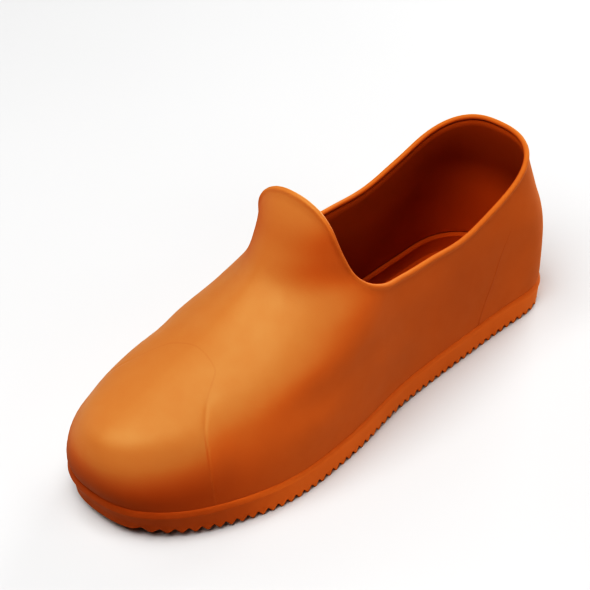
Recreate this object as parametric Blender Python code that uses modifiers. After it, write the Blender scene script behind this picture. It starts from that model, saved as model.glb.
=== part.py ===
"""Left rubber overshoe standing empty: a hollow moulded upper on a ribbed outsole.

The toe points to -Y, the outer side of the foot to +X and up is +Z. Stations run along the shoe from the back of
the heel, heights run up from the floor, and both are in millimetres.
"""

import math

import bmesh
import bpy
import numpy as np

MM = 0.001

# Frame origin on the floor, in the middle of the overall box
MID_STATION = 138.45
MID_SIDE = -1.9

# Main form
LAST_LENGTH = 290.0
TIP_OFFSET = -9.0
BEND_START = 0.35
INNER_NOSE = 0.80
INNER_NOSE_BLEND = (30.0, 80.0)
HEEL_LENGTH = 38.0
HEEL_SQUARENESS = 2.5

# Upper
HEEL_TOP = 94.5
FLAP_TOP = 123.3
WALL = 2.2
BEAD_PROUD = 0.9
SEAT_GAP = 0.3
WALL_ROWS = 15
HALF_COLUMNS = 41
FINE_ROWS = 40
FINE_COLUMNS = 300

# Swell of the collar bead over its distance down from the rim
BEAD_COLUMNS = ("below_rim", "swell")
BEAD = (
    (0.0, 0.55),
    (1.1, 1.00),
    (3.2, 1.00),
    (4.4, 0.00),
)

# Outsole
RIDGE_HEIGHT = 15.0
RIDGE_SPRING = 4.6
LEDGE_PROUD = 1.6
LEDGE_DEPTH = 2.4
LEDGE_ROUND = 0.6
SIDE_TAPER = 2.2
TOE_TAPER = 5.0
RIM_WIDTH = 4.6
PLATE = 6.0
SOLE_STATIONS = 44

# Underside
TOE_SPRING = 7.0
TOE_SPRING_START = 0.68
ARCH_RISE = 0.6
ARCH_RUN = (0.32, 0.54)
HEEL_RISE = 1.2
HEEL_RISE_RUN = 0.07

# Tread
RIB_PITCH = 5.0
GROOVE_MOUTH = 3.2
GROOVE_ROOT = 0.8
GROOVE_DEPTH = 2.2
FIRST_GROOVE = 6.0
GROOVES = 53
GROOVE_REACH = 75.0
GROOVE_OVERRUN = 1.0

# Half breadths of the last along its length
PLAN_COLUMNS = ("station", "outer", "inner")
PLAN = (
    (0.00, 41.5, 36.0),
    (0.10, 37.0, 36.0),
    (0.25, 36.5, 35.5),
    (0.42, 38.5, 35.5),
    (0.58, 47.5, 40.0),
    (0.70, 51.5, 42.5),
    (0.82, 50.5, 45.5),
    (0.92, 49.0, 48.5),
    (1.00, 47.5, 50.5),
)

# Level sections of the upper, from the sole ridge to above the flap
LEVEL_COLUMNS = ("height", "front", "nose", "roundness", "back", "breadth")
LEVELS = (
    (RIDGE_HEIGHT, 278.0, 93.5, 2.45, -2.5, 0.985),
    (20.0, 280.5, 95.0, 2.30, -2.8, 0.985),
    (28.0, 281.0, 96.5, 2.15, -3.0, 0.985),
    (38.0, 278.5, 98.5, 2.00, -3.2, 0.980),
    (48.0, 271.0, 102.0, 1.85, -3.0, 0.965),
    (58.0, 245.5, 89.0, 1.80, -1.4, 0.950),
    (70.0, 213.0, 76.5, 1.75, 2.2, 0.905),
    (84.0, 186.0, 65.0, 1.70, 6.2, 0.850),
    (98.0, 173.8, 48.5, 1.80, 9.3, 0.805),
    (112.0, 165.0, 34.0, 2.00, 12.0, 0.765),
    (128.0, 153.6, 27.0, 2.20, 14.7, 0.725),
)

UPPER_COLOUR = (0.74, 0.165, 0.020, 1.0)
UPPER_ROUGHNESS = 0.42
SOLE_COLOUR = (0.70, 0.150, 0.018, 1.0)
SOLE_ROUGHNESS = 0.50


def column(columns, rows, name):
    return np.array([row[columns.index(name)] for row in rows])


def smooth(columns, rows, name, scale=1.0):
    """A smooth curve through one named column of a table, over its first column."""
    xs = column(columns, rows, columns[0]) * scale
    ys = column(columns, rows, name)
    slopes = np.gradient(ys, xs)

    def curve(x):
        x = np.asarray(x, float)
        i = np.clip(np.searchsorted(xs, x) - 1, 0, len(xs) - 2)
        step = xs[i + 1] - xs[i]
        u = np.clip((x - xs[i]) / step, 0.0, 1.0)
        start = (1 + 2 * u) * (1 - u) ** 2 * ys[i] + u * (1 - u) ** 2 * step * slopes[i]
        end = u * u * (3 - 2 * u) * ys[i + 1] - u * u * (1 - u) * step * slopes[i + 1]
        return start + end

    return curve


outer_breadth = smooth(PLAN_COLUMNS, PLAN, "outer", LAST_LENGTH)
inner_breadth = smooth(PLAN_COLUMNS, PLAN, "inner", LAST_LENGTH)
front = smooth(LEVEL_COLUMNS, LEVELS, "front")
nose = smooth(LEVEL_COLUMNS, LEVELS, "nose")
roundness = smooth(LEVEL_COLUMNS, LEVELS, "roundness")
back = smooth(LEVEL_COLUMNS, LEVELS, "back")
level_breadth = smooth(LEVEL_COLUMNS, LEVELS, "breadth")

# Collar line in side view, from the heel to the top of the flap
COLLAR_COLUMNS = ("along", "station", "height")
COLLAR = (
    (0.00, float(back(HEEL_TOP)), HEEL_TOP),
    (0.12, 30.5, 84.5),
    (0.28, 53.5, 76.5),
    (0.45, 76.5, 72.5),
    (0.60, 98.5, 73.5),
    (0.70, 118.5, 75.0),
    (0.78, 136.0, 78.5),
    (0.86, 148.5, 87.5),
    (0.93, 155.0, 105.5),
    (1.00, float(front(FLAP_TOP)), FLAP_TOP),
)

collar_station = smooth(COLLAR_COLUMNS, COLLAR, "station")
collar_height = smooth(COLLAR_COLUMNS, COLLAR, "height")


def ease(u):
    u = np.clip(u, 0.0, 1.0)
    return u * u * (3 - 2 * u)


def end_cap(distance, length, power):
    """How far the breadth has grown at this distance from a rounded end: 0 at the tip, 1 past the length."""
    u = np.clip(1 - distance / length, 0.0, 1 - 1e-12)
    return (1 - u**power) ** (1 / power)


def half_breadth(station, height, side):
    breadth = outer_breadth(station) if side > 0 else inner_breadth(station)
    low, high = INNER_NOSE_BLEND
    inner = INNER_NOSE + (1 - INNER_NOSE) * np.clip((height - low) / (high - low), 0.0, 1.0)
    shorten = 1.0 if side > 0 else inner
    toe = end_cap(front(height) - station, nose(height) * shorten, roundness(height))
    heel = end_cap(station - back(height), HEEL_LENGTH, HEEL_SQUARENESS)
    return breadth * level_breadth(height) * toe * heel


def centre(station):
    return TIP_OFFSET * ease((station / LAST_LENGTH - BEND_START) / (1 - BEND_START))


def spring(station):
    """The square ramp from the start of the toe spring, 1 at the full length."""
    u = (station / LAST_LENGTH - TOE_SPRING_START) / (1 - TOE_SPRING_START)
    return np.clip(u, 0.0, None) ** 2


def ridge_height(station):
    return RIDGE_HEIGHT + RIDGE_SPRING * spring(station)


def underside_height(station):
    """The plane of the rib crests: flat under the heel and the ball, risen between them and at both ends."""
    start, end = ARCH_RUN
    u = np.clip((station / LAST_LENGTH - start) / (end - start), 0.0, 1.0)
    heel = np.clip(1 - station / (HEEL_RISE_RUN * LAST_LENGTH), 0.0, None) ** 2
    return TOE_SPRING * spring(station) + ARCH_RISE * np.sin(math.pi * u) ** 2 + HEEL_RISE * heel


def along(points, distances):
    """Points at these distances along a polyline."""
    steps = np.linalg.norm(np.diff(points, axis=0), axis=1)
    travel = np.concatenate([[0.0], np.cumsum(steps)])
    return np.stack([np.interp(distances, travel, line) for line in points.T], axis=1)


def length_of(points):
    return np.linalg.norm(np.diff(points, axis=0), axis=1).sum()


def side_view_grid():
    """Stations and heights of a blend between the sole ridge, the collar, the heel and the vamp lines."""
    k = np.linspace(0.0, 1.0, FINE_ROWS)[:, None]
    t = (1 - np.cos(math.pi * np.linspace(0.0, 1.0, FINE_COLUMNS)))[None, :] / 2
    heel_height = RIDGE_HEIGHT + (HEEL_TOP - RIDGE_HEIGHT) * k
    vamp_height = np.linspace(RIDGE_HEIGHT, FLAP_TOP, FINE_COLUMNS)
    vamp = np.stack([front(vamp_height), vamp_height], axis=1)
    vamp = along(vamp, k[:, 0] * length_of(vamp))
    ridge_station = back(RIDGE_HEIGHT) + (front(RIDGE_HEIGHT) - back(RIDGE_HEIGHT)) * t

    def blend(heel, toe, low, high):
        low_line = low - (1 - t) * low[:, :1] - t * low[:, -1:]
        high_line = high - (1 - t) * high[:, :1] - t * high[:, -1:]
        return (1 - t) * heel + t * toe + (1 - k) * low_line + k * high_line

    stations = blend(back(heel_height), vamp[:, :1], ridge_station, collar_station(t))
    heights = blend(heel_height, vamp[:, 1:], RIDGE_HEIGHT + 0 * t, collar_height(t))
    return stations, heights


def upper_surface():
    """Rings of points round the outside of the upper, from the sole ridge to the collar, and each ring's bead swell."""
    stations, heights = side_view_grid()
    halves = []
    for side in (1, -1):
        x = centre(stations) + side * half_breadth(stations, heights, side)
        z = heights + RIDGE_SPRING * spring(stations) + SEAT_GAP
        rows = [np.stack(row, axis=1) for row in zip(x, stations, z)]
        halves.append([along(row, np.linspace(0.0, length_of(row), HALF_COLUMNS)) for row in rows])
    outer, inner = np.array(halves)
    rings = np.concatenate([outer, inner[:, -2:0:-1]], axis=1)
    bead_depth = column(BEAD_COLUMNS, BEAD, "below_rim")
    uprights = []
    for upright in rings.transpose(1, 0, 2):
        below_bead = np.linspace(bead_depth[-1], length_of(upright), WALL_ROWS)[1:]
        uprights.append(along(upright[::-1], np.concatenate([bead_depth, below_bead]))[::-1])
    rings = np.array(uprights).transpose(1, 0, 2)
    swell = np.concatenate([np.zeros(WALL_ROWS - 1), column(BEAD_COLUMNS, BEAD, "swell")[::-1]])
    return rings, swell


def outward(rings):
    """Unit normals of a surface given as rings of points."""
    round_ring = np.roll(rings, -1, axis=1) - np.roll(rings, 1, axis=1)
    normals = np.cross(round_ring, np.gradient(rings, axis=0))
    return normals / np.linalg.norm(normals, axis=2, keepdims=True)


def to_frame(points):
    """Blender coordinates of points given as sideways, station and height."""
    x, station, z = np.moveaxis(np.asarray(points), -1, 0)
    return np.stack([x - MID_SIDE, MID_STATION - station, z], axis=-1) * MM


def loft(bm, rings):
    """Vertices of closed rings with quads between each and the next."""
    made = [[bm.verts.new(point) for point in to_frame(ring)] for ring in rings]
    for low, high in zip(made, made[1:]):
        for i in range(len(low)):
            j = (i + 1) % len(low)
            bm.faces.new((low[i], low[j], high[j], high[i]))
    return made


def strip_fill(bm, ring):
    """Close a ring that runs up one side and back down the other with a face between each pair of rungs."""
    count = len(ring)
    for i in range(count // 2):
        corners = [ring[i], ring[i + 1], ring[(count - i - 1) % count], ring[(count - i) % count]]
        bm.faces.new(list(dict.fromkeys(corners)))


def material(name, colour, roughness):
    made = bpy.data.materials.new(name)
    made.use_nodes = True
    shader = made.node_tree.nodes["Principled BSDF"]
    shader.inputs["Base Color"].default_value = colour
    shader.inputs["Roughness"].default_value = roughness
    shader.inputs["Metallic"].default_value = 0.0
    return made


def finish(name, bm, collection, look=None):
    bmesh.ops.recalc_face_normals(bm, faces=bm.faces)
    mesh = bpy.data.meshes.new(name)
    bm.to_mesh(mesh)
    bm.free()
    mesh.shade_smooth()
    made = bpy.data.objects.new(name, mesh)
    collection.objects.link(made)
    if look:
        mesh.materials.append(look)
    return made


def make_upper(collection):
    rings, swell = upper_surface()
    rings = rings + outward(rings) * (BEAD_PROUD * swell)[:, None, None]
    bm = bmesh.new()
    loft(bm, rings)
    upper = finish("upper", bm, collection, material("upper_rubber", UPPER_COLOUR, UPPER_ROUGHNESS))
    thickness = upper.vertex_groups.new(name="thickness")
    around = rings.shape[1]
    for row, share in enumerate(swell):
        members = list(range(row * around, (row + 1) * around))
        thickness.add(members, (WALL + BEAD_PROUD * share) / (WALL + BEAD_PROUD), "REPLACE")
    shell = upper.modifiers.new("wall", "SOLIDIFY")
    shell.thickness = (WALL + BEAD_PROUD) * MM
    shell.offset = -1.0
    shell.vertex_group = thickness.name
    shell.use_quality_normals = True
    split = upper.modifiers.new("split", "TRIANGULATE")
    split.quad_method = "SHORTEST_DIAGONAL"


def sole_outline():
    """Plan points of the last at the sole ridge, up the outer side and back down the inner one, and their normals."""
    t = (1 - np.cos(math.pi * np.linspace(0.0, 1.0, SOLE_STATIONS + 1))) / 2
    stations = back(RIDGE_HEIGHT) + (front(RIDGE_HEIGHT) - back(RIDGE_HEIGHT)) * t
    sides = []
    for side in (1, -1):
        x = centre(stations) + side * half_breadth(stations, RIDGE_HEIGHT, side)
        sides.append(np.stack([x, stations], axis=1))
    plan = np.concatenate([sides[0], sides[1][-2:0:-1]])
    tangent = np.roll(plan, -1, axis=0) - np.roll(plan, 1, axis=0)
    normal = np.stack([tangent[:, 1], -tangent[:, 0]], axis=1)
    return plan, normal / np.linalg.norm(normal, axis=1, keepdims=True)


def make_outsole(collection):
    plan, normal = sole_outline()
    station = plan[:, 1]
    ridge = ridge_height(station)
    under = underside_height(station)
    taper = SIDE_TAPER + (TOE_TAPER - SIDE_TAPER) * np.clip(spring(station), 0.0, 1.0)
    sections = (
        (-RIM_WIDTH, under + PLATE),
        (-RIM_WIDTH, ridge),
        (LEDGE_PROUD - LEDGE_ROUND, ridge),
        (LEDGE_PROUD, ridge - LEDGE_ROUND),
        (LEDGE_PROUD, ridge - LEDGE_DEPTH + LEDGE_ROUND),
        (LEDGE_PROUD - LEDGE_ROUND, ridge - LEDGE_DEPTH),
        (LEDGE_PROUD - taper, under),
    )
    rings = []
    for offset, height in sections:
        spread = plan + normal * np.broadcast_to(offset, height.shape)[:, None]
        rings.append(np.column_stack([spread, height]))
    bm = bmesh.new()
    made = loft(bm, rings)
    strip_fill(bm, made[0])
    strip_fill(bm, made[-1])
    return finish("outsole", bm, collection, material("sole_rubber", SOLE_COLOUR, SOLE_ROUGHNESS))


def make_groove_cutter(collection):
    """One prism for each groove of the tread, running past the underside and both sides."""
    flare = (GROOVE_MOUTH - GROOVE_ROOT) / GROOVE_DEPTH
    outside_mouth = GROOVE_MOUTH + flare * GROOVE_OVERRUN
    corners = (
        (-outside_mouth / 2, -GROOVE_OVERRUN),
        (outside_mouth / 2, -GROOVE_OVERRUN),
        (GROOVE_ROOT / 2, GROOVE_DEPTH),
        (-GROOVE_ROOT / 2, GROOVE_DEPTH),
    )
    bm = bmesh.new()
    for middle in FIRST_GROOVE + RIB_PITCH * np.arange(GROOVES):
        profile = [(middle + reach, depth + underside_height(middle + reach)) for reach, depth in corners]
        ends = loft(bm, [[(x, *corner) for corner in profile] for x in (-GROOVE_REACH, GROOVE_REACH)])
        for end in ends:
            bm.faces.new(end)
    cutter = finish("tread_grooves", bm, collection)
    cutter.display_type = "WIRE"
    cutter.hide_render = True
    return cutter


def cut(target, cutter):
    boolean = target.modifiers.new("grooves", "BOOLEAN")
    boolean.operation = "DIFFERENCE"
    boolean.solver = "EXACT"
    boolean.object = cutter


def main():
    for old in list(bpy.data.objects):
        bpy.data.objects.remove(old)
    overshoe = bpy.data.collections.new("overshoe")
    cutters = bpy.data.collections.new("cutters")
    bpy.context.scene.collection.children.link(overshoe)
    bpy.context.scene.collection.children.link(cutters)
    cutters.hide_render = True
    make_upper(overshoe)
    cut(make_outsole(overshoe), make_groove_cutter(cutters))


main()
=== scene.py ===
"""Orange rubber overshoe for a left foot, standing empty on a pale studio floor.

Laid out as an add-on: property groups hold the sizes and colours, operators make the pieces and a panel
lists them. The toe points to -Y, the outer side of the foot to +X and up is +Z. Stations run along the shoe
from the back of the heel, and heights run up from the floor. The shoe's tables are in millimetres, or in
shares where their comments say so, and everything else is in metres.
"""

import math
from typing import Callable, NamedTuple

import bmesh
import bpy
import numpy as np
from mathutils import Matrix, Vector


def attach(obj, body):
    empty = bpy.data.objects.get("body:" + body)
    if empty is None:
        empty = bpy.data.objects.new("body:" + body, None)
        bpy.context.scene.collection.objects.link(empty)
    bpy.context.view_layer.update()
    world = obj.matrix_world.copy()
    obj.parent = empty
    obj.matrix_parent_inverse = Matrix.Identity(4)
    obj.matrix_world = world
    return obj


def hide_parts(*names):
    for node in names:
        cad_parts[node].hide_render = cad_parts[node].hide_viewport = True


bl_info = {
    "name": "Rubber Overshoe",
    "version": (1, 0, 0),
    "blender": (4, 5, 0),
    "location": "View3D > Sidebar > Overshoe",
    "description": "Models a low slip-on rubber overshoe and its studio around the packed frame",
    "category": "Add Mesh",
}

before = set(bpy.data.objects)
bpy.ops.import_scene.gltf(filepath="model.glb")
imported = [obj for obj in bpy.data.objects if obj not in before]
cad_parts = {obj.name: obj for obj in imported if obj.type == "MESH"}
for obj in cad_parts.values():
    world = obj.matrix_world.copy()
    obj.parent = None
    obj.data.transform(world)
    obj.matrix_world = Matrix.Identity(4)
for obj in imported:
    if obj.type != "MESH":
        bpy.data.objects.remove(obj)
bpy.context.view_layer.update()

MM = 0.001

# Frame origin on the floor, in the middle of the overall box
MID_STATION = 138.45 * MM
MID_SIDE = -1.9 * MM

# Main form of the last
LAST_LENGTH = 290 * MM
TIP_OFFSET = -9 * MM
BEND_START = 0.35
INNER_NOSE = 0.80
INNER_NOSE_BLEND = (30 * MM, 80 * MM)
HEEL_LENGTH = 38 * MM
HEEL_SQUARENESS = 2.5
ALMOST_ONE = 1 - 1e-12
HEEL_TOP = 94.5 * MM
FLAP_TOP = 123.3 * MM
RIDGE_HEIGHT = 15 * MM
RIDGE_SPRING = 4.6 * MM

# Underside
TOE_SPRING = 7 * MM
TOE_SPRING_START = 0.68
ARCH_RISE = 0.6 * MM
ARCH_RUN = (0.32, 0.54)
HEEL_RISE = 1.2 * MM
HEEL_RISE_RUN = 0.07

# Half breadths of the last: share of its length, outer side and inner side
PLAN = (
    (0.00, 41.5, 36.0),
    (0.10, 37.0, 36.0),
    (0.25, 36.5, 35.5),
    (0.42, 38.5, 35.5),
    (0.58, 47.5, 40.0),
    (0.70, 51.5, 42.5),
    (0.82, 50.5, 45.5),
    (0.92, 49.0, 48.5),
    (1.00, 47.5, 50.5),
)

# Level sections of the upper: height, front, length and roundness of the nose, back and share of the breadth
LEVELS = (
    (15.0, 278.0, 93.5, 2.45, -2.5, 0.985),
    (20.0, 280.5, 95.0, 2.30, -2.8, 0.985),
    (28.0, 281.0, 96.5, 2.15, -3.0, 0.985),
    (38.0, 278.5, 98.5, 2.00, -3.2, 0.980),
    (48.0, 271.0, 102.0, 1.85, -3.0, 0.965),
    (58.0, 245.5, 89.0, 1.80, -1.4, 0.950),
    (70.0, 213.0, 76.5, 1.75, 2.2, 0.905),
    (84.0, 186.0, 65.0, 1.70, 6.2, 0.850),
    (98.0, 173.8, 48.5, 1.80, 9.3, 0.805),
    (112.0, 165.0, 34.0, 2.00, 12.0, 0.765),
    (128.0, 153.6, 27.0, 2.20, 14.7, 0.725),
)

# Edges of the toe cap and of the heel counter in side view: height and station
TOE_CAP_LINE = (
    (10.0, 244.4),
    (15.0, 245.0),
    (25.0, 245.5),
    (34.5, 245.0),
    (41.7, 243.6),
    (49.8, 240.5),
    (54.9, 235.5),
    (58.9, 230.0),
    (62.6, 224.5),
    (65.0, 220.8),
    (67.3, 218.5),
    (68.9, 216.8),
    (74.0, 206.0),
)
HEEL_COUNTER_LINE = (
    (10.0, 65.5),
    (15.0, 63.4),
    (18.0, 62.2),
    (31.0, 56.1),
    (45.0, 48.5),
    (56.0, 41.8),
    (66.0, 35.0),
    (90.0, 18.0),
)

# Soft oval patches in side view: side (1 outer, -1 inner, 0 both), station, height, lean in degrees, length,
# width and strength, which is a crease's depth, with ridges below zero, or the darkness of painted shade
# from 0 to 1
CREASES = (
    (1, 231.0, 40.0, 100.0, 20.0, 8.0, 1.3),
    (1, 190.0, 46.0, -13.0, 34.0, 11.0, 1.6),
    (1, 191.0, 69.0, -13.0, 36.0, 9.0, -1.5),
    (-1, 253.0, 48.0, 75.0, 14.0, 7.0, 0.6),
    (-1, 209.0, 62.0, 70.0, 14.0, 8.0, 0.6),
    (1, 120.0, 50.0, 85.0, 22.0, 16.0, 0.5),
    (1, 150.0, 62.0, 60.0, 20.0, 12.0, -0.5),
    (1, 184.0, 34.0, 15.0, 18.0, 9.0, -0.8),
)
# Soft patches of painted shade on the outer side of the heel and on the flap
DARK_PATCHES = (
    (1, 74.0, 46.0, 0.0, 34.0, 26.0, 0.26),
    (0, 168.0, 103.0, 0.0, 18.0, 24.0, 0.22),
)

# Slow unevenness of a thin rubber wall: wave length along and up, phase and height of each wave
WAVES = (
    (61.0, 47.0, 0.4, 0.10),
    (37.0, -53.0, 1.9, 0.08),
    (-83.0, 29.0, 3.1, 0.07),
)

# How far the two sides blend, the waves' phases part and the relief comes in above the sole
SIDE_BLEND = 8 * MM
WAVE_TURN = 30 * MM
RELIEF_START = 6 * MM

# Groove along the toe cap's edge: its start above the sole, where it fades out and where a painted highlight
# in it fades out
CAP_GROOVE_DEPTH = 0.26 * MM
CAP_GROOVE_WIDTH = 0.55 * MM
CAP_GROOVE_START = 1 * MM
CAP_GROOVE_FADE = (50 * MM, 64 * MM)
CAP_LINE_HIGHLIGHT_FADE = (26 * MM, 40 * MM)
CAP_SLOPE_STEP = 1 * MM

# Faint line of painted shade where that edge runs on over the toe, drawn from a field that is 0.5 on the
# edge
CAP_FIELD_REACH = 20 * MM
CAP_LINE_HALF_WIDTH = 0.6 * MM
CAP_SHADE_LINE_TONE = 0.12
LEAST_STEEPNESS = 0.1

# Painted highlight and polish on the crown: the way it faces, up towards the overhead light, and how far
# that way it starts and is full, plainly and on the toe cap
CROWN_FACING = (0.0, -0.35, 1.0)
CROWN_RUN = (0.42, 0.90)
CAP_CROWN_RUN = (0.34, 0.66)
CAP_CROWN_EDGE = 2 * MM

# Painted shade low on the toe, where it bulges over the sole: where it comes in along the shoe and up it,
# and its share at the very foot
TOE_SHADE_STATIONS = (195 * MM, 262 * MM)
TOE_SHADE_HEIGHTS = (14 * MM, 22 * MM, 44 * MM)
TOE_SHADE_AT_FOOT = 0.9

# Mesh of the upper, with columns crowded at the toe cap's edge and its foot sunk into the sole
FINE_ROWS = 90
FINE_COLUMNS = 600
HALF_COLUMNS = 300
CAP_CROWDING = 4.0
CAP_CROWDED = 6 * MM
CAP_CROWD_OVERRUN = 2 * MM
WALL_ROWS = 60
LINING_STEP = 2
SEAT_SINK = 0.8 * MM

# Collar bead: the wall it takes up, in radii, its sweep in degrees, and how strongly a painted highlight
# lightens it and the cap's edge
BEAD_REACH = 2.6
BEAD_ROWS = 12
BEAD_SWEEP = (-50.0, 230.0)
BEAD_HIGHLIGHT = 0.55
CAP_LINE_HIGHLIGHT = 0.6

# Heel-counter lines: their mesh, the share of their rise where they fade out, and the painted shade on them
LINE_STEP = 0.9 * MM
LINE_SAMPLES = 9
LINE_ROOT = 0.9 * MM
LINE_ROOT_SHARE = 0.3
LINE_BURY = 0.05 * MM
LINE_FADE = (0.35, 0.75)
LINE_SHADE = 0.35

# Mesh of the outsole, and places across half a groove where its tread is sampled, in half mouths
PLAN_POINTS = 1500
END_POINTS = 32
END_CROWDING = 2.5
GROOVE_SAMPLES = (0.0, 0.06, 0.12, 0.20, 0.36, 0.55, 0.75, 0.92, 1.0, 1.08)
GROOVE_SOFTNESS = 0.09
WALL_SHARES = (0.06, 0.35, 0.7, 1.0)

# Fillet of the footbed by steps inwards and up, and the rounding and the lining tone of the rim's top
FILLET = (
    (2.2, 0.0),
    (0.7, 0.6),
    (0.0, 2.2),
)
RIM_ROUND = 0.8 * MM
RIM_TOP_LINING = 0.9

# Rounded shoulder of the sole: how far it starts inside the upper, the height of its underside and the
# painted shade on its top
SHOULDER_ROOT = 0.15 * MM
SHOULDER_UNDER = 0.6 * MM
SHOULDER_ROWS = 9
UNDER_ROWS = 5
SHOULDER_SHADE = 0.6

# Tread: plain wall above the groove roots, wear of the edge, and the share of the depth worn off at the toe
WALL_FOOT = 0.7 * MM
TREAD_EDGE_WEAR = 0.3
TOE_WEAR = 0.4

# Angles in degrees up to which the faces of a piece are shaded as one surface
UPPER_SMOOTH = 50
LINE_SMOOTH = 60
SOLE_SMOOTH = 40

# Rubber: sizes and detail of its tone drift, clouds and mould grain, and the range of noise that is used
DRIFT_NOISE = (34 * MM, 3.0)
CLOUD_NOISE = (9 * MM, 4.0)
GRAIN_NOISE = (0.9 * MM, 3.0)
COARSE_NOISE = (2.6 * MM, 2.0)
COARSE_SHARE = 0.6
GRAIN_DEPTH = 0.06 * MM
GRAIN_STRENGTH = 0.35
NOISE_RANGE = (0.3, 0.7)

# Rubber: how far drift and clouds change the tone, and how evenly the paler edges, the painted shade and
# lining cover it
DRIFT_TONE = 0.05
CLOUD_TONE = 0.88
CLOUD_SHARE = 0.12
EDGE_SHARE = 0.55
EDGE_CLOUDING = 0.3
COVER_SHARE = 0.8

# Rubber: how much each of these roughens or polishes it, and its reflection
DRIFT_ROUGHNESS = 0.06
CLOUD_ROUGHNESS = 0.05
LINING_ROUGHNESS = 0.22
CROWN_POLISH = 0.20
EDGE_POLISH = 0.05
RUBBER_SPECULAR = 0.40
RUBBER_SPECULAR_TINT = (1.0, 0.90, 0.52, 1.0)

# Camera
CAMERA_TARGET = (1.9 * MM, -6.55 * MM, 45 * MM)
CAMERA_SHIFT = (-0.0323, 0.0440)
SENSOR_WIDTH = 36.0

# Floor, which fades into the backdrop with the distance from its middle
FLOOR_SIZE = 3.0
FLOOR_FADE = (0.5, 1.2)
FLOOR_NOISE = (0.25, 2.0)
FLOOR_TONE = 0.01
FLOOR_ROUGHNESS = 0.8
FLOOR_SPECULAR = 0.2

# Softboxes: name, setting that holds the power, side of the square and place
LIGHTS = (
    ("overhead_softbox", "key_power", 0.9, (0.03, -0.42, 1.0)),
    ("heel_softbox", "heel_power", 0.8, (-0.22, 1.12, 0.38)),
    ("outer_softbox", "outer_power", 0.7, (1.05, 0.25, 0.5)),
    ("inner_softbox", "inner_power", 0.7, (-1.1, -0.25, 0.45)),
)

# Tone curve of the picture, as a film's: steep in the shades and flat in the lights, on all channels
TONE_STEEPNESS = 1.84
TONE_SHOULDER = 0.85
TONE_POINTS = 12
ALL_CHANNELS = 3


def smooth_curve(xs, ys):
    """A curve through these points, level past both ends."""
    slopes = np.gradient(ys, xs)

    def curve(x):
        x = np.asarray(x, float)
        i = np.clip(np.searchsorted(xs, x) - 1, 0, len(xs) - 2)
        step = xs[i + 1] - xs[i]
        u = np.clip((x - xs[i]) / step, 0.0, 1.0)
        start = (1 + 2 * u) * (1 - u) ** 2 * ys[i] + u * (1 - u) ** 2 * step * slopes[i]
        end = u * u * (3 - 2 * u) * ys[i + 1] - u * u * (1 - u) * step * slopes[i + 1]
        return start + end

    return curve


def curves(rows, *units):
    """Smooth curves through the later columns of a table over its first, with a unit for every column."""
    first, *others = np.array(rows).T * np.array(units)[:, None]
    return [smooth_curve(first, values) for values in others]


outer_breadth, inner_breadth = curves(PLAN, LAST_LENGTH, MM, MM)
front, nose, roundness, back, level_breadth = curves(LEVELS, MM, MM, MM, 1, MM, 1)
(toe_cap_station,) = curves(TOE_CAP_LINE, MM, MM)
(heel_counter_station,) = curves(HEEL_COUNTER_LINE, MM, MM)

# Collar line in side view: share of the way from the heel to the top of the flap, station and height
COLLAR = (
    (0.00, float(back(HEEL_TOP)) / MM, HEEL_TOP / MM),
    (0.12, 30.5, 84.5),
    (0.28, 53.5, 76.5),
    (0.45, 76.5, 72.5),
    (0.60, 98.5, 73.5),
    (0.70, 118.5, 75.0),
    (0.78, 136.0, 78.5),
    (0.86, 148.5, 87.5),
    (0.93, 155.0, 105.5),
    (1.00, float(front(FLAP_TOP)) / MM, FLAP_TOP / MM),
)
collar_station, collar_height = curves(COLLAR, 1, MM, MM)


def setting(name, description, default, **kind):
    """A number that a user may change."""
    return bpy.props.FloatProperty(name=name, description=description, default=default, **kind)


def metres(*words):
    return setting(*words, unit="LENGTH", precision=5)


def watts(*words):
    return setting(*words, unit="POWER")


def tint(name, description, default):
    return bpy.props.FloatVectorProperty(
        name=name, description=description, default=default, subtype="COLOR", min=0.0, max=1.0
    )


class UpperSizes(bpy.types.PropertyGroup):
    """Sizes of the hollow upper."""

    wall: metres("Wall", "Thickness of the rubber wall", 2.2 * MM)
    bead_radius: metres("Bead radius", "Radius of the rolled collar edge", 1.45 * MM)
    bead_proud: metres("Bead proud", "How far the collar bead stands out of the wall", 0.9 * MM)
    line_height: metres("Line height", "Height of the raised heel-counter lines", 0.24 * MM)
    line_width: metres("Line width", "Width of the raised heel-counter lines", 2.2 * MM)


class SoleSizes(bpy.types.PropertyGroup):
    """Sizes of the ribbed outsole."""

    shoulder_proud: metres("Shoulder proud", "How far the shoulder stands out of the upper", 1.0 * MM)
    shoulder_height: metres("Shoulder height", "Height of the rounded shoulder", 3.2 * MM)
    shoulder_step: metres("Shoulder step", "How far the sole wall lies behind the shoulder", 0.3 * MM)
    side_taper: metres("Side taper", "How far the wall draws in to the tread along the sides", 1.0 * MM)
    toe_taper: metres("Toe taper", "How far the wall draws in to the tread at the toe", 3.4 * MM)
    rim_width: metres("Rim width", "Width of the rim under the upper", 4.6 * MM)
    plate: metres("Plate", "Thickness of the sole under the foot", 6.0 * MM)
    rib_pitch: metres("Rib pitch", "Spacing of the tread ribs", 5.0 * MM)
    groove_mouth: metres("Groove mouth", "Width of a tread groove at the ground", 4.3 * MM)
    groove_root: metres("Groove root", "Width of a tread groove at its root", 0.5 * MM)
    groove_depth: metres("Groove depth", "Depth of the tread grooves", 2.6 * MM)
    first_groove: metres("First groove", "Station of the groove nearest the heel", 11.0 * MM)
    grooves: bpy.props.IntProperty(name="Grooves", description="Number of tread grooves", default=53, min=1)
    edge_round: metres("Edge round", "Rounding of the tread's outer edge", 0.4 * MM)


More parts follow.
